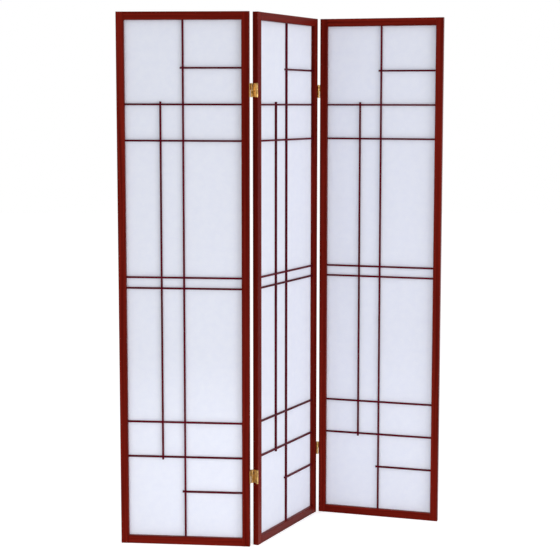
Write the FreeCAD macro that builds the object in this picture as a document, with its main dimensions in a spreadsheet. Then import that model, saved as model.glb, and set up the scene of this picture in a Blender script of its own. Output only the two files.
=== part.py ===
"""A three-panel folding screen of lacquered wood, white paper and brass.

Each panel is a frame of two stiles and two rails.  A lattice of thin strips is halved together
and let into the frame behind its front edges.  A sheet of paper lies on the lattice's back, in a
rabbet, and four backing strips hold it there.  Two brass hinges join each pair of panels.  A
hinge is made of two leaves, a link between them and two pins, one at the panels' backs and one
at their fronts, so the panels fold either way.

Axes: +X to the right and +Y away from someone who faces the screen, +Z up.  The origin is on
the floor, under the middle of the standing screen.  A panel's own frame has its origin at the
bottom of its front left edge, X along its width and Y from its front face to its back.
"""

import FreeCAD, Part
import Sketcher
import os
import re

SIZES = {
    # The frame of a panel
    "panel_width": 440,          # outer width of one panel
    "panel_height": 1784,        # outer height of one panel
    "panel_thickness": 19,       # front face to back face
    "stile_width": 26,           # width of an upright frame member, seen from the front
    "rail_height": 27,           # height of a level frame member, seen from the front
    "edge_round": 1.2,           # radius along the long edges of stiles and rails
    "tenon_length": 14,          # how far a rail enters a stile
    "tenon_thickness": 6,        # front to back
    "tenon_shoulder": 5,         # step above and below a tenon
    # The lattice
    "strip_width": 6,            # width of a lattice strip, seen from the front
    "strip_depth": 7,            # front to back
    "strip_recess": 6,           # from the frame's front face back to the strips' fronts
    "strip_round": 0.5,          # radius along a strip's long edges
    "strip_seat": 3,             # how far a strip's end enters the frame
    "upright_pitch": 75.5,       # between the centres of the long and the short upright
    "first_row": 155,            # from a rail's inner edge to the centre of the short row
    "row_pitch": 119,            # between the centres of rows one, two and three
    "middle_pair": 36,           # between the centres of the two middle rows
    "strip_horn": 6.5,           # how far a short strip runs on past the strip it ends on
    # Paper and backing
    "paper_thickness": 0.5,
    "rabbet_width": 7,           # how far the rabbet runs under the paper's edge
    "paper_margin": 1,           # from the paper's edge to the rabbet's wall
    "backing_gap": 0.4,          # between a backing strip and the rabbet's wall
    # Hinges
    "panel_gap": 10.6,           # between two panels that stand in line
    "pin_offset": 0.85,          # from a panel's face out to the hinge pin's axis
    "hinge_height": 45,          # height of a leaf
    "upper_hinge_drop": 254,     # from the panel's top down to the upper hinge's centre
    "lower_hinge_rise": 238,     # from the floor up to the lower hinge's centre
    "leaf_thickness": 1.4,       # sheet that leaves and links are rolled from
    "leaf_margin": 1.1,          # from a panel's face to the edge of the leaf on its end
    "curl_rise": 3.6,            # length of the bend that carries a leaf's knuckle
    "knuckle_gap": 0.5,          # between the knuckles that share a pin
    "link_gap": 0.5,             # between a link's plate and the leaf knuckles beside it
    "pin_radius": 2.05,
    "pin_clearance": 0.05,       # around the pin in a leaf's knuckle
    "pin_head": 0.8,             # how far a pin stands out of its knuckles
    "screw_radius": 1.4,         # shank of a hinge screw
    "screw_length": 14,          # length of a hinge screw in the wood
    "screw_spacing": 26,         # between the two screws of a leaf
    "slot_width": 0.7,           # arm of the cross cut in a screw's head
    "slot_depth": 0.8,
    "slot_length": 3.2,
    # How the screen stands: each panel's turn about +Z in degrees, 0 with its width along +X
    "left_panel_angle": -7.3,
    "middle_panel_angle": 60.7,
    "right_panel_angle": -18.2,
}

PANELS = ("left", "middle", "right")

# Heights of the eight lattice rows' centres, from the top row down
UPPER_ROWS = ["panel_height - rail_height - first_row - %d * row_pitch" % step for step in range(3)]
MIDDLE_ROWS = ["panel_height / 2 + middle_pair / 2", "panel_height / 2 - middle_pair / 2"]
LOWER_ROWS = ["rail_height + first_row + %d * row_pitch" % step for step in (2, 1, 0)]
ROWS = UPPER_ROWS + MIDDLE_ROWS + LOWER_ROWS
SHORT_ROWS = (0, len(ROWS) - 1)

# Centres of the two lattice uprights, across the panel
LONG_UPRIGHT = "panel_width / 2"
SHORT_UPRIGHT = "panel_width / 2 - upright_pitch"

# Planes and sizes that several pieces share
PAPER_PLANE = "strip_recess + strip_depth"
OPENING_WIDTH = "panel_width - 2 * stile_width"
OPENING_HEIGHT = "panel_height - 2 * rail_height"
RABBET_DEPTH = "panel_thickness - strip_recess - strip_depth"
KNUCKLE_RADIUS = "pin_radius + pin_clearance + leaf_thickness"
PIN_SPAN = "panel_thickness + 2 * pin_offset"
HINGE_CENTRES = {"upper": "panel_height - upper_hinge_drop", "lower": "lower_hinge_rise"}

document = FreeCAD.newDocument("folding_screen")
sheet = document.addObject("Spreadsheet::Sheet", "Sizes")
for line, (alias, value) in enumerate(SIZES.items(), start=1):
    sheet.set("A%d" % line, alias)
    sheet.set("B%d" % line, str(value))
    sheet.setAlias("B%d" % line, alias)
document.recompute()

nodes = {}


def cells(formula):
    """Turn a formula of size names into one that reads the sheet."""
    def cell(word):
        return "Sizes." + word.group(0) if word.group(0) in SIZES else word.group(0)
    return re.sub(r"[a-z_]+", cell, str(formula))


def value_of(formula):
    """Work out a formula of size names, in millimetres or degrees."""
    return float(sheet.evalExpression(cells(formula)))


def bind(thing, **formulas):
    """Tie properties of an object to formulas of the sheet's sizes."""
    for name, formula in formulas.items():
        thing.setExpression(name, cells(formula))


def place(thing, across, back, up):
    """Tie the place of an object to three formulas."""
    for axis, formula in zip("xyz", (across, back, up)):
        thing.setExpression("Placement.Base." + axis, cells(formula))


def box(name, across, back, up, length, width, height):
    """A block with one corner at the given place."""
    block = document.addObject("Part::Box", name)
    bind(block, Length=length, Width=width, Height=height)
    place(block, across, back, up)
    return block


def rod(name, across, back, up, radius, height):
    """An upright cylinder that stands on the given place."""
    cylinder = document.addObject("Part::Cylinder", name)
    bind(cylinder, Radius=radius, Height=height)
    place(cylinder, across, back, up)
    return cylinder


def rounded(name, block, direction, radius):
    """The block with its four edges along one direction rounded."""
    document.recompute()
    size = value_of(radius)
    edges = []
    for number, edge in enumerate(block.Shape.Edges, start=1):
        run = edge.Vertexes[1].Point - edge.Vertexes[0].Point
        if abs(run.normalize().dot(direction)) > 0.99:
            edges.append((number, size, size))
    fillet = document.addObject("Part::Fillet", name)
    fillet.Base = block
    fillet.Edges = edges
    return fillet


def group(name, kind, pieces):
    """Pieces joined by one of the kinds that take a list: a fusion or a compound."""
    joined = document.addObject(kind, name)
    if kind == "Part::MultiFuse":
        joined.Shapes = pieces
    else:
        joined.Links = pieces
    return joined


def cut(name, base, tools):
    """The base with every tool cut out of it."""
    result = document.addObject("Part::Cut", name)
    result.Base = base
    result.Tool = tools[0] if len(tools) == 1 else group(name + "_tools", "Part::Compound", tools)
    return result


def node(name, thing, carrier):
    """Enter a finished piece, with the panel that carries it."""
    thing.Label = name
    nodes[name] = (thing, carrier)


# ---------------------------------------------------------------------------------------------
# Frame
# ---------------------------------------------------------------------------------------------

ACROSS = FreeCAD.Vector(1, 0, 0)
UPWARD = FreeCAD.Vector(0, 0, 1)


def screw_heights():
    """Heights of all hinge screws on one edge of a panel."""
    heights = []
    for centre in HINGE_CENTRES.values():
        heights.append(centre + " + screw_spacing / 2")
        heights.append(centre + " - screw_spacing / 2")
    return heights


def stile(panel, side):
    """An upright of the frame, with mortises, rabbet and pilot holes for the hinge screws."""
    name = "%s_panel_%s_stile" % (panel, side)
    on_left = side == "left"
    outer = "0" if on_left else "panel_width - stile_width"
    bar = box(name + "_bar", outer, "0", "0", "stile_width", "panel_thickness", "panel_height")
    bar = rounded(name + "_rounded", bar, UPWARD, "edge_round")
    tools = []
    for number, height in enumerate(ROWS):
        if on_left and number in SHORT_ROWS:
            continue
        start = "stile_width - strip_seat" if on_left else "panel_width - stile_width"
        tools.append(box("%s_seat_%d" % (name, number + 1), start, "strip_recess",
                         height + " - strip_width / 2", "strip_seat", "strip_depth", "strip_width"))
    start = "stile_width - tenon_length" if on_left else "panel_width - stile_width"
    for end, foot in (("bottom", "tenon_shoulder"),
                      ("top", "panel_height - rail_height + tenon_shoulder")):
        tools.append(box("%s_%s_mortise" % (name, end), start,
                         "panel_thickness / 2 - tenon_thickness / 2", foot, "tenon_length",
                         "tenon_thickness", "rail_height - 2 * tenon_shoulder"))
    start = "stile_width - rabbet_width" if on_left else "panel_width - stile_width"
    tools.append(box(name + "_rabbet", start, PAPER_PLANE, "rail_height - rabbet_width",
                     "rabbet_width", RABBET_DEPTH, OPENING_HEIGHT + " + 2 * rabbet_width"))
    if (panel, side) not in (("left", "left"), ("right", "right")):
        for number, height in enumerate(screw_heights(), start=1):
            pilot = rod("%s_pilot_%d" % (name, number), "0" if on_left else "panel_width",
                        "panel_thickness / 2", height, "screw_radius", "screw_length")
            turn = 90 if on_left else -90
            pilot.Placement.Rotation = FreeCAD.Rotation(FreeCAD.Vector(0, 1, 0), turn)
            tools.append(pilot)
    node(name, cut(name, bar, tools), panel)


def rail(panel, end):
    """A level member of the frame, with a tenon at each end, a rabbet and the upright's seat."""
    name = "%s_panel_%s_rail" % (panel, end)
    on_top = end == "top"
    foot = "panel_height - rail_height" if on_top else "0"
    bar = box(name + "_bar", "stile_width", "0", foot, OPENING_WIDTH, "panel_thickness",
              "rail_height")
    bar = rounded(name + "_rounded", bar, ACROSS, "edge_round")
    tenon = box(name + "_tenon", "stile_width - tenon_length",
                "panel_thickness / 2 - tenon_thickness / 2", foot + " + tenon_shoulder",
                OPENING_WIDTH + " + 2 * tenon_length", "tenon_thickness",
                "rail_height - 2 * tenon_shoulder")
    whole = group(name + "_whole", "Part::MultiFuse", [bar, tenon])
    start = foot if on_top else "rail_height - rabbet_width"
    rabbet = box(name + "_rabbet", "stile_width", PAPER_PLANE, start, OPENING_WIDTH, RABBET_DEPTH,
                 "rabbet_width")
    start = foot if on_top else "rail_height - strip_seat"
    seat = box(name + "_seat", LONG_UPRIGHT + " - strip_width / 2", "strip_recess", start,
               "strip_width", "strip_depth", "strip_seat")
    node(name, cut(name, whole, [rabbet, seat]), panel)


# ---------------------------------------------------------------------------------------------
# Lattice: rows lie in front of the uprights and are halved over them
# ---------------------------------------------------------------------------------------------

def upright(panel, which):
    """A lattice upright, notched from the front at each row that it crosses."""
    name = "%s_panel_%s_upright" % (panel, which)
    if which == "long":
        centre = LONG_UPRIGHT
        foot = "rail_height - strip_seat"
        height = OPENING_HEIGHT + " + 2 * strip_seat"
        crossed = range(len(ROWS))
    else:
        centre = SHORT_UPRIGHT
        foot = ROWS[6] + " - strip_width / 2 - strip_horn"
        height = "(%s) - (%s) + strip_width + 2 * strip_horn" % (ROWS[1], ROWS[6])
        crossed = range(1, len(ROWS) - 1)
    side = centre + " - strip_width / 2"
    bar = box(name + "_bar", side, "strip_recess", foot, "strip_width", "strip_depth", height)
    bar = rounded(name + "_rounded", bar, UPWARD, "strip_round")
    notches = []
    for number in crossed:
        notches.append(box("%s_notch_%d" % (name, number + 1), side, "strip_recess",
                           ROWS[number] + " - strip_width / 2", "strip_width", "strip_depth / 2",
                           "strip_width"))
    node(name, cut(name, bar, notches), panel)


def row(panel, number):
    """A lattice row, notched from the back at each upright that it crosses."""
    name = "%s_panel_row_%d" % (panel, number + 1)
    foot = ROWS[number] + " - strip_width / 2"
    if number in SHORT_ROWS:
        start = LONG_UPRIGHT + " - strip_width / 2 - strip_horn"
        crossed = [LONG_UPRIGHT]
    else:
        start = "stile_width - strip_seat"
        crossed = [LONG_UPRIGHT, SHORT_UPRIGHT]
    length = "panel_width - stile_width + strip_seat - (%s)" % start
    bar = box(name + "_bar", start, "strip_recess", foot, length, "strip_depth", "strip_width")
    bar = rounded(name + "_rounded", bar, ACROSS, "strip_round")
    notches = []
    for place_number, centre in enumerate(crossed, start=1):
        notches.append(box("%s_notch_%d" % (name, place_number), centre + " - strip_width / 2",
                           "strip_recess + strip_depth / 2", foot, "strip_width",
                           "strip_depth / 2", "strip_width"))
    node(name, cut(name, bar, notches), panel)


# ---------------------------------------------------------------------------------------------
# Paper and the strips that hold it
# ---------------------------------------------------------------------------------------------

def paper(panel):
    """The sheet of paper, glued to the lattice's back and to the rabbet's floor."""
    name = "%s_panel_paper" % panel
    reach = "rabbet_width - paper_margin"
    paper_sheet = box(name + "_sheet", "stile_width - (%s)" % reach, PAPER_PLANE,
                      "rail_height - (%s)" % reach, "%s + 2 * (%s)" % (OPENING_WIDTH, reach),
                      "paper_thickness", "%s + 2 * (%s)" % (OPENING_HEIGHT, reach))
    node(name, group(name, "Part::Compound", [paper_sheet]), panel)


def backing(panel):
    """Four strips in the rabbet, behind the paper and flush with the frame's back."""
    name = "%s_panel_backing_strips" % panel
    front = PAPER_PLANE + " + paper_thickness"
    depth = RABBET_DEPTH + " - paper_thickness"
    width = "rabbet_width - backing_gap"
    foot = "rail_height - rabbet_width + backing_gap"
    height = OPENING_HEIGHT + " + 2 * (%s)" % width
    strips = []
    for side, start in (("left", "stile_width - (%s)" % width),
                        ("right", "panel_width - stile_width")):
        strips.append(box("%s_%s" % (name, side), start, front, foot, width, depth, height))
    for end, start in (("bottom", foot), ("top", "panel_height - rail_height")):
        strips.append(box("%s_%s" % (name, end), "stile_width", front, start, OPENING_WIDTH, depth,
                          width))
    node(name, group(name, "Part::Compound", strips), panel)


# ---------------------------------------------------------------------------------------------
# Hinges.  A hinge piece is drawn about a pin's axis and then set at its corner of a panel.
# ---------------------------------------------------------------------------------------------

def edge_corner(side):
    """Where a leaf's pin stands in its panel's frame, and how far the leaf is turned there."""
    if side == "right":
        return "panel_width + panel_gap / 2", "panel_thickness + pin_offset", 0
    return "-panel_gap / 2", "-pin_offset", 180


def set_at(thing, across, back, up, turn):
    """Turn a piece about the pin's axis and set it at its corner."""
    thing.Placement.Rotation = FreeCAD.Rotation(UPWARD, turn)
    place(thing, across, back, up)
    return thing


def bend(name, points, foot, height):
    """An upright prism over the polygon whose corners are pairs of formulas."""
    outline = document.addObject("Sketcher::SketchObject", name + "_outline")
    corners = [FreeCAD.Vector(value_of(across), value_of(back), 0) for across, back in points]
    for number, corner in enumerate(corners):
        outline.addGeometry(Part.LineSegment(corner, corners[(number + 1) % len(corners)]), False)
    for number, (across, back) in enumerate(points):
        following = (number + 1) % len(points)
        outline.addConstraint(Sketcher.Constraint("Coincident", number, 2, following, 1))
        for kind, formula, size in (("DistanceX", across, corners[number].x),
                                    ("DistanceY", back, corners[number].y)):
            index = outline.addConstraint(Sketcher.Constraint(kind, -1, 1, number, 1, size))
            outline.setExpression("Constraints[%d]" % index, cells(formula))
    prism = document.addObject("Part::Extrusion", name)
    prism.Base = outline
    prism.DirMode = "Custom"
    prism.Dir = UPWARD
    prism.Solid = True
    bind(prism, LengthFwd=height)
    place(prism, "0", "0", foot)
    return prism


def knuckle(name, back, foot, bore):
    """A rolled tube around a pin's axis, half the hinge's height less the running gap."""
    height = "(hinge_height - knuckle_gap) / 2"
    tube = rod(name + "_roll", "0", back, foot, KNUCKLE_RADIUS, height)
    hole = rod(name + "_bore", "0", back, foot, bore, height)
    return tube, hole


def leaf(panel, side, level):
    """A leaf: a plate on the panel's end and, on its upper half, a knuckle around the pin."""
    name = "%s_leaf_%s_%s" % (panel, side, level)
    half = "hinge_height / 2"
    face = "-panel_gap / 2"
    plate = box(name + "_plate", face, "-pin_offset - panel_thickness + leaf_margin", "-" + half,
                "leaf_thickness", "panel_thickness - 2 * leaf_margin", "hinge_height")
    foot = "knuckle_gap / 2"
    tube, hole = knuckle(name, "0", foot, "pin_radius + pin_clearance")
    neck = bend(name + "_neck",
                [(face, "-curl_rise"), (face + " + leaf_thickness", "-curl_rise"),
                 ("-pin_radius - pin_clearance", "0"), ("-(%s)" % KNUCKLE_RADIUS, "0")],
                foot, "(hinge_height - knuckle_gap) / 2")
    whole = group(name + "_whole", "Part::MultiFuse", [plate, tube, neck])
    tools = [hole]
    for number, sign in enumerate("+-", start=1):
        head = screw_head("%s_sink_%d" % (name, number))
        place(head, face, "-pin_offset - panel_thickness / 2", "0 %s screw_spacing / 2" % sign)
        tools.append(head)
    across, back, turn = edge_corner(side)
    return set_at(cut(name, whole, tools), across, back, HINGE_CENTRES[level], turn)


def screw_head(name):
    """A countersunk head that fills the leaf's thickness, with its wide end outwards."""
    cone = document.addObject("Part::Cone", name)
    bind(cone, Radius1="screw_radius", Radius2="screw_radius + leaf_thickness",
         Height="leaf_thickness")
    cone.Placement.Rotation = FreeCAD.Rotation(FreeCAD.Vector(0, 1, 0), 90)
    return cone


def screw(panel, side, level, number, sign):
    """A hinge screw: countersunk head with a cross slot, and a shank in the stile."""
    name = "%s_screw_%s_%s_%d" % (panel, side, level, number)
    head = screw_head(name + "_head")
    shank = rod(name + "_shank", "0", "0", "0", "screw_radius", "screw_length")
    shank.Placement.Rotation = FreeCAD.Rotation(FreeCAD.Vector(0, 1, 0), -90)
    whole = group(name + "_whole", "Part::MultiFuse", [head, shank])
    slots = []
    for kind, width, height in (("level", "slot_length", "slot_width"),
                                ("upright", "slot_width", "slot_length")):
        slots.append(box("%s_%s_slot" % (name, kind), "leaf_thickness - slot_depth",
                         "-(%s) / 2" % width, "-(%s) / 2" % height, "slot_depth", width, height))
    up = "%s %s screw_spacing / 2" % (HINGE_CENTRES[level], sign)
    turn = 0 if side == "right" else 180
    across = "panel_width" if side == "right" else "0"
    return set_at(cut(name, whole, slots), across, "panel_thickness / 2", up, turn)


def link(name, side, level):
    """A link: a plate between the two pins, rolled around both on its lower half."""
    foot = "-hinge_height / 2"
    front_tube, front_hole = knuckle(name + "_front", "-(%s)" % PIN_SPAN, foot, "pin_radius")
    back_tube, back_hole = knuckle(name + "_back", "0", foot, "pin_radius")
    near = KNUCKLE_RADIUS + " - leaf_thickness"
    web = box(name + "_web", near, "-(%s)" % PIN_SPAN, foot, "leaf_thickness", PIN_SPAN,
              "(hinge_height - knuckle_gap) / 2")
    room = KNUCKLE_RADIUS + " + link_gap"
    plate = box(name + "_plate", near, "-(%s) + %s" % (PIN_SPAN, room), foot, "leaf_thickness",
                "%s - 2 * (%s)" % (PIN_SPAN, room), "hinge_height")
    whole = group(name + "_whole", "Part::MultiFuse", [front_tube, back_tube, web, plate])
    link_cut = cut(name, whole, [front_hole, back_hole])
    across = "panel_width + panel_gap / 2" if side == "right" else "-panel_gap / 2"
    return set_at(link_cut, across, "panel_thickness + pin_offset", HINGE_CENTRES[level], 0)


def pin(name, side, face, level):
    """A hinge pin that stands a little out of the knuckles at both ends."""
    across = "panel_width + panel_gap / 2" if side == "right" else "-panel_gap / 2"
    back = "panel_thickness + pin_offset" if face == "back" else "-pin_offset"
    foot = HINGE_CENTRES[level] + " - hinge_height / 2 - pin_head"
    return rod(name, across, back, foot, "pin_radius", "hinge_height + 2 * pin_head")


def hinge_pair(joint, left_panel, right_panel):
    """Both hinges of one joint.  The links and pins stand in line with the middle panel."""
    levels = list(HINGE_CENTRES)
    for panel, side in ((left_panel, "right"), (right_panel, "left")):
        name = "%s_joint_%s_leaves" % (joint, "left" if side == "right" else "right")
        leaves = [leaf(panel, side, level) for level in levels]
        node(name, group(name, "Part::Compound", leaves), panel)
    side = "left" if joint == "left" else "right"
    name = "%s_joint_links" % joint
    links = [link("%s_%s" % (name, level), side, level) for level in levels]
    node(name, group(name, "Part::Compound", links), "middle")
    name = "%s_joint_pins" % joint
    pins = []
    for face in ("front", "back"):
        for level in levels:
            pins.append(pin("%s_%s_%s" % (name, face, level), side, face, level))
    node(name, group(name, "Part::Compound", pins), "middle")


def hinge_screws(panel, sides):
    """All the screws that hold leaves on one panel."""
    name = "%s_panel_hinge_screws" % panel
    screws = []
    for side in sides:
        for level in HINGE_CENTRES:
            for number, sign in enumerate("+-", start=1):
                screws.append(screw(panel, side, level, number, sign))
    node(name, group(name, "Part::Compound", screws), panel)


# ---------------------------------------------------------------------------------------------
# How the panels stand
# ---------------------------------------------------------------------------------------------

def standing(angle, corner_in_panel, corner_on_floor):
    """The placement that turns a panel and brings one of its points to a point of the floor."""
    rotation = FreeCAD.Rotation(UPWARD, value_of(angle))
    return FreeCAD.Placement(corner_on_floor - rotation.multVec(corner_in_panel), rotation)


def stand():
    """Place the three panels as they stand: the left one folded at its back pins, the right one
    at its front pins, and all of them centred over the origin."""
    back = value_of("panel_thickness + pin_offset")
    front = value_of("-pin_offset")
    right_end = value_of("panel_width + panel_gap / 2")
    left_end = value_of("-panel_gap / 2")
    middle = standing("middle_panel_angle", FreeCAD.Vector(), FreeCAD.Vector())
    back_pin = middle.multVec(FreeCAD.Vector(left_end, back, 0))
    front_pin = middle.multVec(FreeCAD.Vector(right_end, front, 0))
    placements = {
        "left": standing("left_panel_angle", FreeCAD.Vector(right_end, back, 0), back_pin),
        "middle": middle,
        "right": standing("right_panel_angle", FreeCAD.Vector(left_end, front, 0), front_pin),
    }
    reach = FreeCAD.BoundBox()
    for thing, carrier in nodes.values():
        shape = thing.Shape.copy()
        shape.Placement = placements[carrier]
        reach.add(shape.optimalBoundingBox(False))
    to_origin = FreeCAD.Placement(FreeCAD.Vector(-reach.Center.x, -reach.Center.y, 0),
                                  FreeCAD.Rotation())
    for thing, carrier in nodes.values():
        thing.Placement = to_origin.multiply(placements[carrier])
    print("reach %.2f x %.2f x %.2f mm" % (reach.XLength, reach.YLength, reach.ZLength))
    for name, end, face in (("left back pin", left_end, back), ("left front pin", left_end, front),
                            ("right back pin", right_end, back),
                            ("right front pin", right_end, front)):
        axis = to_origin.multiply(middle).multVec(FreeCAD.Vector(end, face, 0))
        print("%s at %.5f, %.5f" % (name, axis.x, axis.y))


for panel in PANELS:
    for side in ("left", "right"):
        stile(panel, side)
    for end in ("top", "bottom"):
        rail(panel, end)
    for which in ("long", "short"):
        upright(panel, which)
    for number in range(len(ROWS)):
        row(panel, number)
    paper(panel)
    backing(panel)
hinge_pair("left", "left", "middle")
hinge_pair("right", "middle", "right")
hinge_screws("left", ("right",))
hinge_screws("middle", ("left", "right"))
hinge_screws("right", ("left",))
document.recompute()
stand()
document.recompute()

for thing in document.Objects:
    if "Invalid" in thing.State or "Error" in thing.State:
        raise RuntimeError("%s could not be built: %s" % (thing.Name, thing.State))
for name, (thing, carrier) in nodes.items():
    if thing.Shape.isNull() or not thing.Shape.isValid():
        raise RuntimeError("%s has no valid shape" % name)

os.makedirs("parts", exist_ok=True)
for name, (thing, carrier) in nodes.items():
    thing.Shape.exportStep("parts/%s.step" % name)
solids = sum(len(thing.Shape.Solids) for thing, carrier in nodes.values())
print("%d nodes, %d solids" % (len(nodes), solids))
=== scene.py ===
# %% [markdown]
# # A folding screen of lacquered wood, paper and brass
#
# Three tall panels stand in a zigzag. Each has a red-brown wooden frame, a lattice of thin strips
# and a sheet of white paper behind the lattice, and small brass hinges join the panels. The solid
# model gives every piece its exact shape and place, so this lesson is about what makes the pieces
# look real: wood grain, lacquer, paper fibre, brass, light and the camera. All lengths are in
# metres.

# %% Load the solid model
import math

import bpy
import numpy as np
from mathutils import Matrix, Vector

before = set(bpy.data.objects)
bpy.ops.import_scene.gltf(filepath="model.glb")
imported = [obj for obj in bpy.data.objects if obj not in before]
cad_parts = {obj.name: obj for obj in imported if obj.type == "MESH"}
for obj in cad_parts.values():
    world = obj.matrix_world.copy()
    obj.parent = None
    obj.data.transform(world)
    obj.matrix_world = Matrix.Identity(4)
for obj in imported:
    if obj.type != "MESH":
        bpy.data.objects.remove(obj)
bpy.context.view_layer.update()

# %% [markdown]
# ## Measuring the pieces
#
# A pattern such as grain has to run along its own piece of wood. A stile's grain runs up and a
# rail's runs across, and both turn with their panel. One way is to give each piece a UV map, but
# the solid model has none. The other way, used here, is to read the Object coordinates and turn
# them with a Mapping node, so that each pattern starts at the middle of its piece and its Z axis
# runs along the grain. For that, each piece is measured along its own panel's axes.

# %% Panels and their pieces
PANEL_ANGLES = {"left": -7.3, "middle": 60.7, "right": -18.2}
STILES = ("left_stile", "right_stile")
RAILS = ("top_rail", "bottom_rail")
UPRIGHTS = ("long_upright", "short_upright")
ROWS = tuple("row_%d" % number for number in range(1, 9))
MM_PER_METRE = 1000


def corners_of(name):
    """All corner points of a solid piece, as rows of an array."""
    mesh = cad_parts[name].data
    points = np.empty(len(mesh.vertices) * 3)
    mesh.vertices.foreach_get("co", points)
    return points.reshape(-1, 3)


def along_grain(angle, grain):
    """The turn that brings a piece's grain to Z: first back by its panel's angle, and then, for
    a piece that lies across, a quarter turn about Y."""
    turn = Matrix.Rotation(math.radians(-angle), 3, "Z")
    if grain == "across":
        turn = Matrix.Rotation(math.radians(90), 3, "Y") @ turn
    return turn


def measure(name, turn):
    """Middle and half sizes of a piece along its turned axes."""
    points = corners_of(name) @ np.array(turn).T
    low, high = points.min(axis=0), points.max(axis=0)
    return Vector((low + high) / 2), Vector((high - low) / 2)


stile_half = measure("left_panel_left_stile", along_grain(PANEL_ANGLES["left"], "up"))[1]
print("a stile, in mm:", [round(2 * size * MM_PER_METRE, 1) for size in stile_half])

# %% [markdown]
# ## Helpers for node trees
#
# A material is a small program drawn as boxes and wires. Four helpers keep it readable in code:
# one adds a box, one puts a value into a socket, and two do sums between sockets.

# %% Node helpers
def add(tree, kind, **settings):
    """Add a node of one kind to a tree and set its properties."""
    made = tree.nodes.new(kind)
    for setting, value in settings.items():
        setattr(made, setting, value)
    return made


def feed(tree, value, socket):
    """Put a number, a colour or another node's output into a socket."""
    if isinstance(value, bpy.types.NodeSocket):
        tree.links.new(value, socket)
    else:
        socket.default_value = value


def maths(tree, operation, *values, clamp=False):
    """The result of one sum on numbers or sockets."""
    made = add(tree, "ShaderNodeMath", operation=operation, use_clamp=clamp)
    for value, socket in zip(values, made.inputs):
        feed(tree, value, socket)
    return made.outputs[0]


def vector_maths(tree, operation, *values):
    """The result of one sum on vectors."""
    made = add(tree, "ShaderNodeVectorMath", operation=operation)
    for value, socket in zip(values, made.inputs):
        feed(tree, value, socket)
    return made.outputs[0]


print("node helpers: add, feed, maths, vector_maths")

# %% [markdown]
# ## Helpers for patterns
#
# Most patterns here are noise that is stretched, cut off smoothly between two values and then used
# to mix two colours. A picture of each pattern would do too, but a picture repeats and has to be
# laid on every face, while noise fills space. A pattern that several materials share is made a
# group: a part of a program with named inputs and outputs.

# %% Pattern helpers
def ramp(tree, value, low, high, to_low=0.0, to_high=1.0):
    """A smooth step: to_low where value is under low, to_high where it is over high."""
    made = add(tree, "ShaderNodeMapRange", interpolation_type="SMOOTHSTEP")
    for number, socket in zip((value, low, high, to_low, to_high), made.inputs):
        feed(tree, number, socket)
    return made.outputs[0]


def mix(tree, share, first, second, data_type, socket_type):
    """The first value where share is 0 and the second where it is 1."""
    made = add(tree, "ShaderNodeMix", data_type=data_type)
    values = [socket for socket in made.inputs if socket.type == socket_type]
    feed(tree, share, made.inputs[0])
    feed(tree, first, values[0])
    feed(tree, second, values[1])
    return [socket for socket in made.outputs if socket.type == socket_type][0]


def blend(tree, share, first, second):
    """Mix two colours."""
    return mix(tree, share, first, second, "RGBA", "RGBA")


def noise(tree, place, waves, detail=2.0, roughness=0.5, warp=0.0):
    """Soft random values, with so many waves to a metre along each axis."""
    scaled = vector_maths(tree, "MULTIPLY", place, waves)
    made = add(tree, "ShaderNodeTexNoise", noise_dimensions="3D")
    feed(tree, scaled, made.inputs["Vector"])
    made.inputs["Scale"].default_value = 1.0
    made.inputs["Detail"].default_value = detail
    made.inputs["Roughness"].default_value = roughness
    made.inputs["Distortion"].default_value = warp
    return made.outputs["Fac"]


def new_group(name, inputs, outputs):
    """An empty node group with named sockets. Returns the tree and its two end nodes."""
    tree = bpy.data.node_groups.new(name, "ShaderNodeTree")
    kinds = {"vector": "NodeSocketVector", "value": "NodeSocketFloat"}
    for names, way in ((inputs, "INPUT"), (outputs, "OUTPUT")):
        for socket, kind in names.items():
            tree.interface.new_socket(socket, in_out=way, socket_type=kinds[kind])
    return tree, add(tree, "NodeGroupInput").outputs, add(tree, "NodeGroupOutput").inputs


print("pattern helpers: ramp, mix, blend, noise, new_group")

# %% [markdown]
# ## Edges
#
# A darker line runs along the edges of a wooden bar. It is partly stain and lacquer that gather
# there and dry darker, and partly painted shade where the rounded edges turn away from the light.
# Where hands touch the bar the edge rubs pale. Both need to know how far a point is from the
# nearest edge.
# Pointiness, the usual way, needs joined faces and fails on a model made of loose triangles. For
# a bar it can be worked out: a point on the surface has three distances to the three pairs of
# faces. One is zero, since the point lies on that face, and the middle one is how far the nearest
# edge is.

# %% Edge group
EDGE_WAVES = (260, 260, 60)
RUB_WAVES = (14, 14, 9)
RUBBED_WITHIN = (0.0002, 0.0011)
RUBBED_WHERE = (0.55, 0.64)


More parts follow.
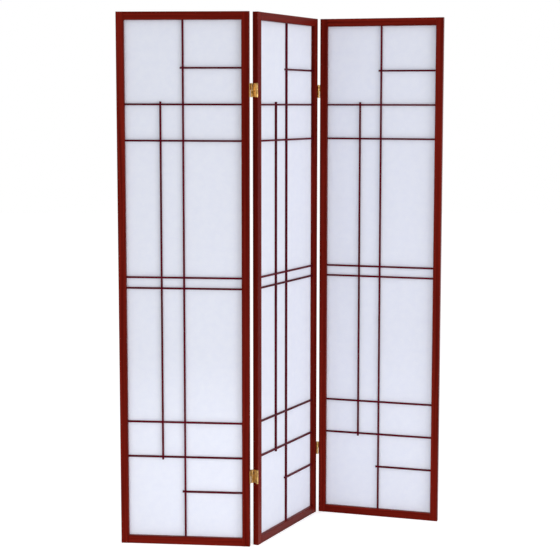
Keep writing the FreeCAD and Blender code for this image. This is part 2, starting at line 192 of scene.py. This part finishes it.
def make_edge_group():
    """Edge_Stain_And_Shade, 1 on an edge and 0 further in than Width, from the middle of the three
    distances half size - |place|, with noise added so that the line isn't ruled. It carries the
    darker edge line, which is partly stain and partly painted shade on the rounded edges. Rubbed is
    1 where the point is close to an edge and inside a patch of noise."""
    tree, given, result = new_group(
        "edge", {"Place": "vector", "Half Size": "vector", "Width": "value", "Breaks": "value"},
        {"Edge_Stain_And_Shade": "value", "Rubbed": "value"})
    inside = vector_maths(tree, "SUBTRACT", given["Half Size"],
                          vector_maths(tree, "ABSOLUTE", given["Place"]))
    parts = add(tree, "ShaderNodeSeparateXYZ")
    feed(tree, inside, parts.inputs[0])
    x, y, z = parts.outputs
    smaller, larger = maths(tree, "MINIMUM", x, y), maths(tree, "MAXIMUM", x, y)
    distance = maths(tree, "MAXIMUM", smaller, maths(tree, "MINIMUM", larger, z))
    uneven = noise(tree, given["Place"], EDGE_WAVES, detail=3.0)
    worn = maths(tree, "MULTIPLY_ADD", maths(tree, "SUBTRACT", uneven, 0.5), given["Breaks"],
                 distance)
    # Mask of the darker edge line: partly stain, partly painted shade on the rounded edges.
    edge = ramp(tree, worn, 0.0, given["Width"], 1.0, 0.0)
    feed(tree, edge, result["Edge_Stain_And_Shade"])
    patches = noise(tree, given["Place"], RUB_WAVES, detail=4.0, roughness=0.7)
    close = ramp(tree, distance, *RUBBED_WITHIN, 1.0, 0.0)
    feed(tree, maths(tree, "MULTIPLY", close, ramp(tree, patches, *RUBBED_WHERE)),
         result["Rubbed"])
    return tree


edge_group = make_edge_group()
print("group:", edge_group.name)

# %% [markdown]
# ## Wood grain
#
# The frame is stained wood. Up close such wood shows broad soft bands, fine fibres that run the
# whole length, and short dark dashes where pores took up more stain. A wood picture would repeat
# on every bar, so each layer is noise that is squeezed across the grain and drawn out along it,
# and every bar starts at its own place in the noise.

# %% Grain group
SWAY_WAVES = (6, 6, 2.2)
SWAY_ACROSS, SWAY_DEEP = 0.022, 0.013
BAND_WAVES, BAND_SHARE = (95, 70, 0.9), 0.45
RING_WAVES, RING_SHARE = (330, 190, 1.6), 0.35
FIBRE_WAVES, FIBRE_SHARE = (1500, 1100, 12), 0.20
SPECK_WAVES = (2300, 1800, 70)
TONE_RANGE = (0.33, 0.67)
PORES_IN_SPECKS = (0.60, 0.72)
PORES_IN_RINGS = (0.40, 0.62)
FIBRE_HEIGHT, PORE_HEIGHT = 0.35, -0.8


def make_grain_group():
    """Tone from 0 to 1 for the stain, Pores from 0 to 1, and Height for the bump, all from noise
    with many waves to a metre across the grain (X and Y) and few along it (Z)."""
    tree, given, result = new_group(
        "grain", {"Place": "vector", "Start": "vector"},
        {"Tone": "value", "Pores": "value", "Height": "value"})
    place = vector_maths(tree, "ADD", given["Place"], given["Start"])
    sway = noise(tree, place, SWAY_WAVES, detail=1.0)
    lean = add(tree, "ShaderNodeCombineXYZ")
    feed(tree, maths(tree, "MULTIPLY", sway, SWAY_ACROSS), lean.inputs[0])
    feed(tree, maths(tree, "MULTIPLY", sway, SWAY_DEEP), lean.inputs[1])
    swayed = vector_maths(tree, "ADD", place, lean.outputs[0])
    bands = noise(tree, swayed, BAND_WAVES, roughness=0.45)
    rings = noise(tree, swayed, RING_WAVES, roughness=0.55)
    fibres = noise(tree, swayed, FIBRE_WAVES, detail=3.0, roughness=0.65)
    tone = maths(tree, "MULTIPLY_ADD", bands, BAND_SHARE,
                 maths(tree, "MULTIPLY", rings, RING_SHARE))
    tone = maths(tree, "MULTIPLY_ADD", fibres, FIBRE_SHARE, tone)
    feed(tree, ramp(tree, tone, *TONE_RANGE), result["Tone"])
    specks = noise(tree, swayed, SPECK_WAVES, detail=1.0)
    where = ramp(tree, rings, *PORES_IN_RINGS)
    pores = maths(tree, "MULTIPLY", ramp(tree, specks, *PORES_IN_SPECKS), where)
    feed(tree, pores, result["Pores"])
    height = maths(tree, "MULTIPLY_ADD", fibres, FIBRE_HEIGHT,
                   maths(tree, "MULTIPLY", pores, PORE_HEIGHT))
    feed(tree, height, result["Height"])
    return tree


grain_group = make_grain_group()
print("group:", grain_group.name)

# %% [markdown]
# ## Starting a material
#
# Every finish begins in the same way: a new material, and the place of each point on its piece.
# The place could be counted from the object's origin, but all pieces share one origin, so the
# Mapping node turns it to the grain and moves it to the piece's own middle. A group then goes into
# the material as one box, and only colours and values come out of it. A height that comes out
# becomes bumps, which tilt the surface in the light but don't change its outline.

# %% Material helpers
def start_material(name, turn=Matrix.Identity(3), middle=Vector()):
    """A material with its Principled shader, and the place of each point on the piece: its
    Object coordinates, turned to the grain and counted from the piece's middle. Brass has no
    grain, so it needs neither and its coordinates stay as they are."""
    material = bpy.data.materials.new(name)
    material.use_nodes = True
    tree = material.node_tree
    shader = tree.nodes["Principled BSDF"]
    here = add(tree, "ShaderNodeTexCoord")
    mapped = add(tree, "ShaderNodeMapping", vector_type="POINT")
    feed(tree, here.outputs["Object"], mapped.inputs["Vector"])
    mapped.inputs["Rotation"].default_value = turn.to_euler("XYZ")
    mapped.inputs["Location"].default_value = -middle
    return material, tree, shader, mapped.outputs[0]


def use_group(tree, group, **values):
    """Place a shared group in a material and feed its inputs. Underscores stand for spaces."""
    made = add(tree, "ShaderNodeGroup", node_tree=group)
    for name, value in values.items():
        feed(tree, value, made.inputs[name.replace("_", " ")])
    return made.outputs


def add_bumps(tree, shader, height, strength, distance):
    """Let a height tilt the shader's surface. distance is how deep a height of 1 is."""
    bump = add(tree, "ShaderNodeBump")
    bump.inputs["Strength"].default_value = strength
    bump.inputs["Distance"].default_value = distance
    feed(tree, height, bump.inputs["Height"])
    feed(tree, bump.outputs[0], shader.inputs["Normal"])


def opaque(colour):
    """A colour with full alpha."""
    return (*colour, 1.0)


def dress(name, material):
    """Give a solid piece one material in all its slots."""
    mesh_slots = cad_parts[name].material_slots
    if not mesh_slots:
        raise ValueError("%s has no material slot" % name)
    for slot in mesh_slots:
        slot.link = "OBJECT"
        slot.material = material


print("material helpers: start_material, use_group, add_bumps, opaque, dress")

# %% [markdown]
# ## Stain
#
# The finish is a dark red-brown stain under a thin satin lacquer. The stain could be one colour,
# but then a bar looks like plastic, so the grain's tone mixes a deep and a lighter stain, the pores
# are darker, the edges are darker with stain and with painted shade, and rubbed spots are paler.
# The lattice is a little darker and cooler than the frame.

# %% Stain colours
# The "edge" colours paint the darker edge line: partly stain, partly painted shade on the rounded
# edges.
STAIN = {
    "frame": {"deep": (0.078, 0.0024, 0.0012), "light": (0.198, 0.0120, 0.0062),
              "pore": (0.026, 0.0010, 0.0008), "edge": (0.046, 0.0012, 0.0008),
              "rubbed": (0.260, 0.0450, 0.0220), "edge_width": 0.0017, "edge_stain_and_shade_share": 0.60},
    "lattice": {"deep": (0.054, 0.0010, 0.0065), "light": (0.118, 0.0030, 0.0145),
                "pore": (0.016, 0.0008, 0.0018), "edge": (0.030, 0.0008, 0.0030),
                "rubbed": (0.130, 0.0150, 0.0130), "edge_width": 0.0009, "edge_stain_and_shade_share": 0.45},
    "backing": {"deep": (0.068, 0.0022, 0.0012), "light": (0.150, 0.0080, 0.0042),
                "pore": (0.022, 0.0010, 0.0008), "edge": (0.040, 0.0012, 0.0008),
                "rubbed": (0.200, 0.0240, 0.0120), "edge_width": 0.0009, "edge_stain_and_shade_share": 0.45},
}
PORE_SHARE = 0.8
RUBBED_SHARE = 0.70
EDGE_BREAKS = 0.9
print("stains:", ", ".join(STAIN))

# %% [markdown]
# ## Lacquer
#
# The lacquer is the Principled shader's own gloss, with a roughness that drifts a little where it
# was sprayed thicker or thinner. Everything around this screen is white, and full gloss would
# mirror that white and wash the stain out. The real frame in its photograph shows hardly any
# reflection, so the gloss is set low, and tinted red.

# %% Wood finish
LACQUER_TINT = (1.0, 0.28, 0.18)
LACQUER_LEVEL = 0.08
LACQUER_ROUGHNESS = {"least": 0.24, "spray": 0.18, "pores": 0.15, "rubbed": 0.12}
SPRAY_WAVES = (16, 16, 5)
SKIN_WAVES, SKIN_HEIGHT = (420, 420, 420), 0.25
WOOD_BUMPS = {"strength": 0.35, "distance": 0.00012}


def finish_wood(tree, shader, place, half, stain, start):
    """Wire grain, edges, roughness and bump into a wood material's shader."""
    grain = use_group(tree, grain_group, Place=place, Start=start)
    edge = use_group(tree, edge_group, Place=place, Half_Size=half, Width=stain["edge_width"],
                     Breaks=stain["edge_width"] * EDGE_BREAKS)
    colour = blend(tree, grain["Tone"], opaque(stain["deep"]), opaque(stain["light"]))
    # The edge mix paints a darker line along the edges, partly stain and partly painted shade.
    for mask, share, spot in ((grain["Pores"], PORE_SHARE, "pore"),
                              (edge["Edge_Stain_And_Shade"], stain["edge_stain_and_shade_share"], "edge"),
                              (edge["Rubbed"], RUBBED_SHARE, "rubbed")):
        colour = blend(tree, maths(tree, "MULTIPLY", mask, share), colour, opaque(stain[spot]))
    feed(tree, colour, shader.inputs["Base Color"])
    spray = noise(tree, place, SPRAY_WAVES)
    rough = maths(tree, "MULTIPLY_ADD", spray, LACQUER_ROUGHNESS["spray"],
                  LACQUER_ROUGHNESS["least"])
    rough = maths(tree, "MULTIPLY_ADD", grain["Pores"], LACQUER_ROUGHNESS["pores"], rough)
    rough = maths(tree, "MULTIPLY_ADD", edge["Rubbed"], LACQUER_ROUGHNESS["rubbed"], rough,
                  clamp=True)
    feed(tree, rough, shader.inputs["Roughness"])
    skin = noise(tree, place, SKIN_WAVES, detail=1.0)
    height = maths(tree, "MULTIPLY_ADD", skin, SKIN_HEIGHT, grain["Height"])
    add_bumps(tree, shader, height, **WOOD_BUMPS)
    shader.inputs["Specular IOR Level"].default_value = LACQUER_LEVEL
    shader.inputs["Specular Tint"].default_value = opaque(LACQUER_TINT)


print("lacquer: specular level %.2f" % LACQUER_LEVEL)

# %% [markdown]
# ## Strips in a ring
#
# Four thin strips behind the paper hold it in the frame, and a panel's four are one piece of the
# solid model. With one direction of grain for the piece, the grain would cross two of its strips.
# The piece could be cut into four, but solid pieces stay whole, so the place is folded instead:
# the two upright strips share one set of coordinates and the two lying ones another, each with Z
# along the strip.

# %% Grain of the backing strips
BACKING_WIDTH = 0.0066


def along_strips(tree, place, half, width):
    """Place on a ring of four strips, counted from the middle line of the strip it is on, with Z
    along that strip. Opposite strips are mirrored to one. A strip is upright within width of the
    ring's left and right sides, and lies elsewhere."""
    folded = add(tree, "ShaderNodeSeparateXYZ")
    feed(tree, vector_maths(tree, "ABSOLUTE", place), folded.inputs[0])
    unfolded = add(tree, "ShaderNodeSeparateXYZ")
    feed(tree, place, unfolded.inputs[0])
    x, y, z = unfolded.outputs
    folded_x, _, folded_z = folded.outputs
    upright, lying = add(tree, "ShaderNodeCombineXYZ"), add(tree, "ShaderNodeCombineXYZ")
    for made, across, reach, along in ((upright, folded_x, half.x, z),
                                       (lying, folded_z, half.z, x)):
        feed(tree, maths(tree, "SUBTRACT", across, reach - width / 2), made.inputs[0])
        feed(tree, y, made.inputs[1])
        feed(tree, along, made.inputs[2])
    lies = maths(tree, "LESS_THAN", folded_x, half.x - width)
    return mix(tree, lies, upright.outputs[0], lying.outputs[0], "VECTOR", "VECTOR")


print("backing strips, in mm:", BACKING_WIDTH * MM_PER_METRE)

# %% [markdown]
# ## Dressing the wood
#
# Stiles and lattice uprights have their grain up, rails and rows across. One material for all
# would be shorter, but each piece has its own size and direction, so each gets a material of its
# own. A seeded random generator picks where in the noise a piece starts, so that no two bars look
# alike and every run gives the same picture.

# %% Wooden pieces
PATTERN_SEED = 7
WOOD_SPREAD = 20
pattern_starts = np.random.default_rng(PATTERN_SEED)


def dress_in_wood(name, angle, grain, finish):
    """Stain and lacquer one wooden piece, with its own stretch of grain."""
    turn = along_grain(angle, grain)
    middle, half = measure(name, turn)
    material, tree, shader, place = start_material("wood_" + name, turn, middle)
    start = tuple(pattern_starts.uniform(-WOOD_SPREAD, WOOD_SPREAD, 3))
    if finish == "backing":
        place = along_strips(tree, place, half, BACKING_WIDTH)
        half = Vector((BACKING_WIDTH / 2, half.y, half.z))
    finish_wood(tree, shader, place, half, STAIN[finish], start)
    dress(name, material)


for panel, angle in PANEL_ANGLES.items():
    for part in STILES:
        dress_in_wood("%s_panel_%s" % (panel, part), angle, "up", "frame")
    for part in RAILS:
        dress_in_wood("%s_panel_%s" % (panel, part), angle, "across", "frame")
    for part in UPRIGHTS:
        dress_in_wood("%s_panel_%s" % (panel, part), angle, "up", "lattice")
    for part in ROWS:
        dress_in_wood("%s_panel_%s" % (panel, part), angle, "across", "lattice")
    dress_in_wood("%s_panel_backing_strips" % panel, angle, "up", "backing")
print("wooden pieces:", sum(m.name.startswith("wood_") for m in bpy.data.materials))

# %% [markdown]
# ## Paper fibres
#
# The paper is a cool white sheet of long plant fibres, pulled tight. It isn't even: pulp settles
# in soft clouds, and single fibres cross it as fine, slightly paler threads. A thread could be
# drawn as a curve, but thousands are needed. The lines where a noise passes through its middle
# value wander just like fibres, so two such noises, each shown only in patches, make them.

# %% Fibre group
THREAD_LAYERS = ({"waves": (34, 34, 34), "half_width": 0.010, "patch_waves": (60, 60, 60)},
                 {"waves": (58, 58, 58), "half_width": 0.013, "patch_waves": (85, 85, 85)})
THREADS_WHERE = (0.50, 0.60)
THREAD_HEIGHT = 0.6
CLOUD_WAVES = (38, 38, 38)
PULP_WAVES = (900, 900, 900)


def make_fibre_group():
    """Fibres and Clouds from 0 to 1, and Height for the bump. A fibre lies where |noise - 0.5| is
    under a layer's half width, in patches of a second noise."""
    tree, given, result = new_group(
        "fibres", {"Place": "vector"}, {"Fibres": "value", "Clouds": "value", "Height": "value"})
    place = given["Place"]
    shown = 0.0
    for layer in THREAD_LAYERS:
        field = noise(tree, place, layer["waves"], roughness=0.55, warp=0.6)
        off = maths(tree, "ABSOLUTE", maths(tree, "SUBTRACT", field, 0.5))
        line = ramp(tree, off, 0.0, layer["half_width"], 1.0, 0.0)
        broken = ramp(tree, noise(tree, place, layer["patch_waves"], detail=1.0), *THREADS_WHERE)
        shown = maths(tree, "MAXIMUM", shown, maths(tree, "MULTIPLY", line, broken))
    feed(tree, shown, result["Fibres"])
    clouds = noise(tree, place, CLOUD_WAVES, detail=5.0, roughness=0.62)
    feed(tree, clouds, result["Clouds"])
    pulp = noise(tree, place, PULP_WAVES, detail=3.0, roughness=0.7)
    feed(tree, maths(tree, "MULTIPLY_ADD", shown, THREAD_HEIGHT, pulp), result["Height"])
    return tree


fibre_group = make_fibre_group()
print("group:", fibre_group.name)

# %% [markdown]
# ## Paper
#
# Light passes through paper, so its back is bright and the lattice shows there as soft shadows.
# Transmission would make the sheet look like glass. Subsurface scattering lets light in on one
# side and out on the other, as pulp does, and the Principled shader has it built in. The gloss is
# low and the surface nearly matt.

# %% Paper sheets
PAPER = {"thin": (0.798, 0.826, 0.970), "thick": (0.824, 0.850, 0.980),
         "fibre": (0.854, 0.874, 0.988)}
CLOUD_RANGE = (0.30, 0.70)
THREAD_SHARE = 0.6
PAPER_ROUGHNESS = {"least": 0.72, "clouds": 0.15}
PAPER_LEVEL = 0.15
LIGHT_THROUGH = {"Subsurface Weight": 0.35, "Subsurface Radius": (1.0, 1.0, 1.0),
                 "Subsurface Scale": 0.002}
PAPER_BUMPS = {"strength": 0.25, "distance": 0.00008}


def dress_in_paper(name, angle):
    """Cool white paper with clouds and fibres, which lets light through."""
    turn = along_grain(angle, "up")
    middle = measure(name, turn)[0]
    material, tree, shader, place = start_material("paper_" + name, turn, middle)
    fibre = use_group(tree, fibre_group, Place=place)
    colour = blend(tree, ramp(tree, fibre["Clouds"], *CLOUD_RANGE), opaque(PAPER["thin"]),
                   opaque(PAPER["thick"]))
    colour = blend(tree, maths(tree, "MULTIPLY", fibre["Fibres"], THREAD_SHARE), colour,
                   opaque(PAPER["fibre"]))
    feed(tree, colour, shader.inputs["Base Color"])
    feed(tree, maths(tree, "MULTIPLY_ADD", fibre["Clouds"], PAPER_ROUGHNESS["clouds"],
                     PAPER_ROUGHNESS["least"]), shader.inputs["Roughness"])
    add_bumps(tree, shader, fibre["Height"], **PAPER_BUMPS)
    shader.inputs["Specular IOR Level"].default_value = PAPER_LEVEL
    for socket, value in LIGHT_THROUGH.items():
        shader.inputs[socket].default_value = value
    dress(name, material)


for panel, angle in PANEL_ANGLES.items():
    dress_in_paper("%s_panel_paper" % panel, angle)
print("papers:", sum(m.name.startswith("paper_") for m in bpy.data.materials))

# %% [markdown]
# ## Brass patina
#
# The hinges have a yellow brass finish. Plain yellow metal looks like a toy, because real brass
# dulls: brownish clouds form on it and fine scratches run over it. Both could be painted by hand,
# but two noises, one of them drawn out in height, do it for every piece at once.

# %% Brass group
DULL_WAVES, DULL_RANGE = (150, 150, 110), (0.42, 0.66)
SCRATCH_WAVES = (2600, 2600, 160)


def make_brass_group():
    """Dulling from 0 to 1 from layered noise, and Scratches from noise drawn out in height."""
    tree, given, result = new_group(
        "brass", {"Place": "vector", "Start": "vector"},
        {"Dulling": "value", "Scratches": "value"})
    place = vector_maths(tree, "ADD", given["Place"], given["Start"])
    clouds = noise(tree, place, DULL_WAVES, detail=5.0, roughness=0.65)
    feed(tree, ramp(tree, clouds, *DULL_RANGE), result["Dulling"])
    feed(tree, noise(tree, place, SCRATCH_WAVES), result["Scratches"])
    return tree


brass_group = make_brass_group()
print("group:", brass_group.name)

# %% [markdown]
# ## Hinges and screws
#
# A metal's Base Color tints its reflections, and there is no other colour under them. So the
# clouds of dulling darken the Base Color and raise the Roughness, and the scratches add some
# roughness too and go to the bump. The screws are darker and a little rougher than the leaves,
# links and pins, because dirt stays in their heads.

# %% Brass pieces
BRASS = {"bright": (0.540, 0.345, 0.125), "dull": (0.235, 0.125, 0.042), "roughness": 0.22}
SCREW = {"bright": (0.330, 0.180, 0.060), "dull": (0.100, 0.050, 0.020), "roughness": 0.30}
DULL_ROUGHNESS, SCRATCH_ROUGHNESS = 0.22, 0.10
BRASS_BUMPS = {"strength": 0.30, "distance": 0.00005}
BRASS_SPREAD = 5
HINGE_PARTS = ("left_leaves", "right_leaves", "links", "pins")


def dress_in_brass(name, metal):
    """Brass that has dulled a little."""
    material, tree, shader, place = start_material("brass_" + name)
    start = tuple(pattern_starts.uniform(-BRASS_SPREAD, BRASS_SPREAD, 3))
    brass = use_group(tree, brass_group, Place=place, Start=start)
    feed(tree, blend(tree, brass["Dulling"], opaque(metal["bright"]), opaque(metal["dull"])),
         shader.inputs["Base Color"])
    rough = maths(tree, "MULTIPLY_ADD", brass["Dulling"], DULL_ROUGHNESS, metal["roughness"])
    feed(tree, maths(tree, "MULTIPLY_ADD", brass["Scratches"], SCRATCH_ROUGHNESS, rough),
         shader.inputs["Roughness"])
    add_bumps(tree, shader, brass["Scratches"], **BRASS_BUMPS)
    shader.inputs["Metallic"].default_value = 1.0
    dress(name, material)


for joint in ("left", "right"):
    for part in HINGE_PARTS:
        dress_in_brass("%s_joint_%s" % (joint, part), BRASS)
for panel in PANEL_ANGLES:
    dress_in_brass("%s_panel_hinge_screws" % panel, SCREW)
print("brass pieces:", sum(m.name.startswith("brass_") for m in bpy.data.materials))

# %% [markdown]
# ## Floor
#
# The screen stands on a plain white floor in front of nothing. A white floor under lamps is never
# quite white in the picture, and lamps strong enough to make it so would bleach the paper. So the
# floor glows, but only for the rays that come straight from the camera or off a glossy surface:
# Light Path tells the shader which kind of ray asks. The floor keeps its own diffuse shading, so
# that a soft shadow stays where the panels stand on it.

# %% White floor
FLOOR_HALF = 14.0
FLOOR_GREY = (0.80, 0.80, 0.80)
FLOOR_ROUGHNESS = 0.9
FLOOR_GLOW = 0.58
WHITE = (1.0, 1.0, 1.0)
floor_mesh = bpy.data.meshes.new("floor")
floor_corners = np.array([(-1, -1, 0), (1, -1, 0), (1, 1, 0), (-1, 1, 0)]) * FLOOR_HALF
floor_mesh.from_pydata(floor_corners.tolist(), [], [(0, 1, 2, 3)])
floor = bpy.data.objects.new("floor", floor_mesh)
bpy.context.scene.collection.objects.link(floor)


def seen_directly(tree):
    """1 for camera, glossy and transmission rays, 0 for the rays that carry light about."""
    path = add(tree, "ShaderNodeLightPath").outputs
    seen = maths(tree, "MAXIMUM", path["Is Camera Ray"], path["Is Glossy Ray"])
    return maths(tree, "MAXIMUM", seen, path["Is Transmission Ray"])


floor_material = bpy.data.materials.new("white_floor")
floor_material.use_nodes = True
tree = floor_material.node_tree
shader = tree.nodes["Principled BSDF"]
shader.inputs["Base Color"].default_value = opaque(FLOOR_GREY)
shader.inputs["Roughness"].default_value = FLOOR_ROUGHNESS
shader.inputs["Specular IOR Level"].default_value = 0.0
shader.inputs["Emission Color"].default_value = opaque(WHITE)
feed(tree, maths(tree, "MULTIPLY", seen_directly(tree), FLOOR_GLOW),
     shader.inputs["Emission Strength"])
floor_mesh.materials.append(floor_material)
print("floor:", floor_mesh.name, "half size", FLOOR_HALF)

# %% [markdown]
# ## Sky
#
# The world does two jobs. As a backdrop it has to be pure white, and as light it has to be even
# and weaker than that. One colour can't be both, so the same Light Path test chooses between two:
# the backdrop for what is seen or mirrored, and a plain, slightly cool sky for the light that
# falls on the screen.

# %% World
SKY_LEVEL = 0.60
SKY_COLOUR = (0.98, 0.99, 1.0)
world = bpy.data.worlds.new("white_room")
bpy.context.scene.world = world
world.use_nodes = True
tree = world.node_tree
tree.nodes.clear()
lighting = add(tree, "ShaderNodeBackground", label="lights the screen")
lighting.inputs["Color"].default_value = opaque(SKY_COLOUR)
lighting.inputs["Strength"].default_value = SKY_LEVEL
backdrop = add(tree, "ShaderNodeBackground", label="white that is only seen")
backdrop.inputs["Color"].default_value = opaque(WHITE)
backdrop.inputs["Strength"].default_value = 1.0
either = add(tree, "ShaderNodeMixShader")
feed(tree, seen_directly(tree), either.inputs[0])
tree.links.new(lighting.outputs[0], either.inputs[1])
tree.links.new(backdrop.outputs[0], either.inputs[2])
tree.links.new(either.outputs[0], add(tree, "ShaderNodeOutputWorld").inputs["Surface"])
print("sky level:", SKY_LEVEL)

# %% [markdown]
# ## Lamps
#
# Two large soft lamps stand left and right in front of the screen, the right one stronger. Two more
# light the lower parts of the panels, which is why the paper gets a little brighter towards the
# bottom: one hangs low over the floor and faces down, so most of its light comes by way of the
# white floor, and one is a long strip low in front. Small lamps would be simpler, but they throw
# hard shadows. All four are wide, for the soft shadows beside the frame's inner edges. The camera
# doesn't see them.

# %% Lamps
LAMPS = {
    "left_lamp": {"place": (-3.4, -4.2, 1.6), "aim": (0.0, 0.0, 0.9), "size": (2.2, 2.2),
                  "watts": 20},
    "right_lamp": {"place": (4.0, -3.0, 1.6), "aim": (0.0, 0.0, 0.9), "size": (2.2, 2.2),
                   "watts": 76},
    "floor_lamp": {"place": (0.0, -1.3, 0.55), "aim": (0.0, -1.25, 0.0), "size": (2.6, 1.0),
                   "watts": 7.8},
    "low_strip": {"place": (-0.1, -3.0, 0.3), "aim": (0.0, 0.0, 0.1), "size": (2.6, 0.5),
                  "watts": 8.5},
}
for name, lamp in LAMPS.items():
    data = bpy.data.lights.new(name, "AREA")
    data.shape = "RECTANGLE"
    data.size, data.size_y = lamp["size"]
    data.energy = lamp["watts"]
    lamp_object = bpy.data.objects.new(name, data)
    lamp_object.location = lamp["place"]
    direction = Vector(lamp["aim"]) - Vector(lamp["place"])
    lamp_object.rotation_euler = direction.to_track_quat("-Z", "Y").to_euler()
    lamp_object.visible_camera = False
    bpy.context.scene.collection.objects.link(lamp_object)
print("lamps:", ", ".join(LAMPS))

# %% [markdown]
# ## Camera
#
# The photograph was taken from about shoulder height, a little over four and a half metres away,
# with a long lens, by a level camera with a strongly shifted lens, which keeps uprights upright.
# Views from other sides keep the shift, though, and a strong one would cut off the screen's top.
# So the shift here is small and the camera is tilted down instead, and the outer edges lean by
# about six pixels. With that shift set, place, turns and lens were found by fitting the solid
# model's edges to the photograph's.

# %% Camera
CAMERA = {"place": (-0.1195, -4.7218, 1.4837), "turn": -2.1406, "tilt": 6.1187, "roll": 0.1386,
          "lens": 88.456, "shift": (-0.0367, -0.05)}
SENSOR_WIDTH = 36.0
FARTHEST_SEEN = 100.0
camera_data = bpy.data.cameras.new("camera")
camera_data.lens = CAMERA["lens"]
camera_data.sensor_width = SENSOR_WIDTH
camera_data.shift_x, camera_data.shift_y = CAMERA["shift"]
camera_data.clip_end = FARTHEST_SEEN
camera = bpy.data.objects.new("camera", camera_data)
camera.matrix_world = (Matrix.Translation(CAMERA["place"])
                       @ Matrix.Rotation(math.radians(CAMERA["turn"]), 4, "Z")
                       @ Matrix.Rotation(math.radians(90 - CAMERA["tilt"]), 4, "X")
                       @ Matrix.Rotation(math.radians(CAMERA["roll"]), 4, "Z"))
bpy.context.scene.collection.objects.link(camera)
bpy.context.scene.camera = camera
bpy.context.scene.view_settings.view_transform = "Standard"
print("camera at", CAMERA["place"])
